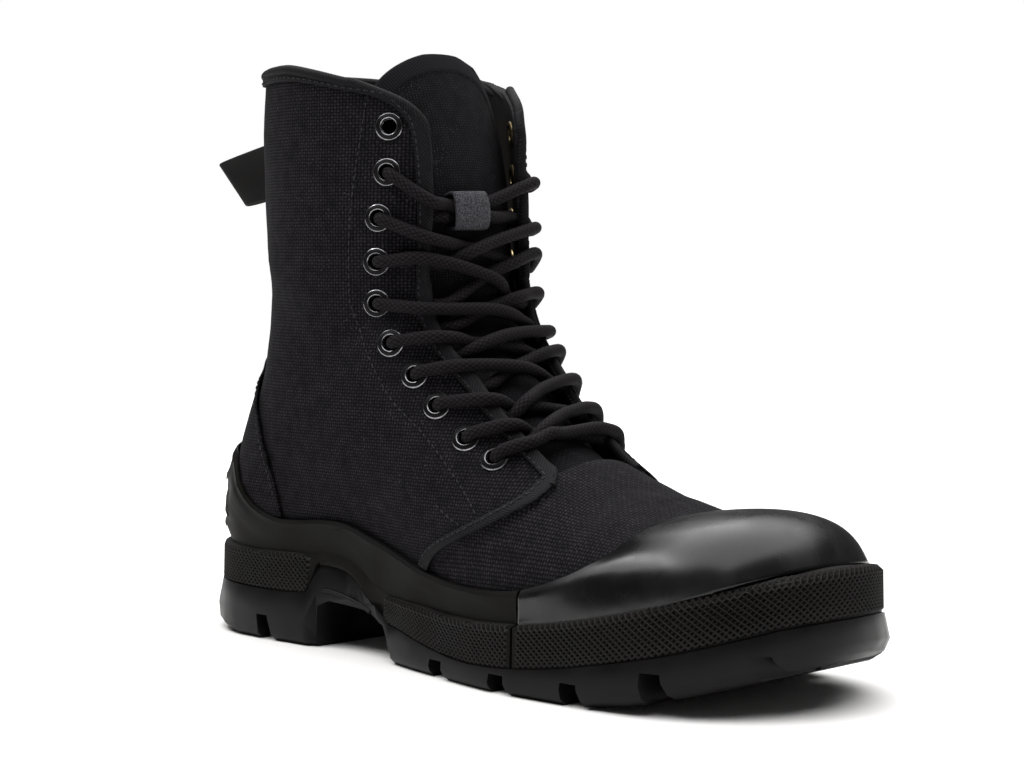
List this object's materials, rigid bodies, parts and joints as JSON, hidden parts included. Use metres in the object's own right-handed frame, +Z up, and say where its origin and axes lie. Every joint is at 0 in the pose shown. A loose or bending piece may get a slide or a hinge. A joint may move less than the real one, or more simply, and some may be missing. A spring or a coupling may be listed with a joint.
{
  "type": "tactical boot",
  "caption": "Black canvas lace-up boot with a rubber toe cap, knurled rubber foxing and a lugged rubber sole, to be worn on the right foot.",
  "frame": {"origin": "middle of the boot's box on the floor plane", "axes": "+X towards the toe, +Y towards the inner side, +Z up"},
  "size_m": [0.3246, 0.11, 0.2195],
  "materials": {
    "canvas": "matt black cotton canvas",
    "twill_tape": "matt black twill tape",
    "rubber": "semi-matt black moulded rubber",
    "gloss_rubber": "glossy black moulded rubber",
    "cord": "black round braided cord",
    "webbing": "grey speckled webbing",
    "eyelet_metal": "dark nickel plate"
  },
  "bodies": {
    "root": {"upper": "canvas", "tongue": "canvas", "heel_counter": "canvas", "insole": "canvas", "edge_binding": "twill_tape", "pull_loop": "twill_tape", "foxing": "rubber", "toe_bumper": "rubber", "outsole": "rubber", "toe_cap": "gloss_rubber", "lace_keeper": "webbing", "lace_bar": "cord", "lace_cross_2": "cord", "lace_cross_3": "cord", "lace_cross_7": "cord", "lace_cross_8": "cord", "lace_cross_9": "cord", "eyelet_lateral_1": "eyelet_metal", "eyelet_lateral_2": "eyelet_metal", "eyelet_lateral_3": "eyelet_metal", "eyelet_lateral_4": "eyelet_metal", "eyelet_lateral_5": "eyelet_metal", "eyelet_lateral_6": "eyelet_metal", "eyelet_lateral_7": "eyelet_metal", "eyelet_lateral_8": "eyelet_metal", "eyelet_lateral_9": "eyelet_metal", "eyelet_lateral_10": "eyelet_metal", "eyelet_medial_1": "eyelet_metal", "eyelet_medial_2": "eyelet_metal", "eyelet_medial_3": "eyelet_metal", "eyelet_medial_4": "eyelet_metal", "eyelet_medial_5": "eyelet_metal", "eyelet_medial_6": "eyelet_metal", "eyelet_medial_7": "eyelet_metal", "eyelet_medial_8": "eyelet_metal", "eyelet_medial_9": "eyelet_metal", "eyelet_medial_10": "eyelet_metal"}
  },
  "joints": []
}
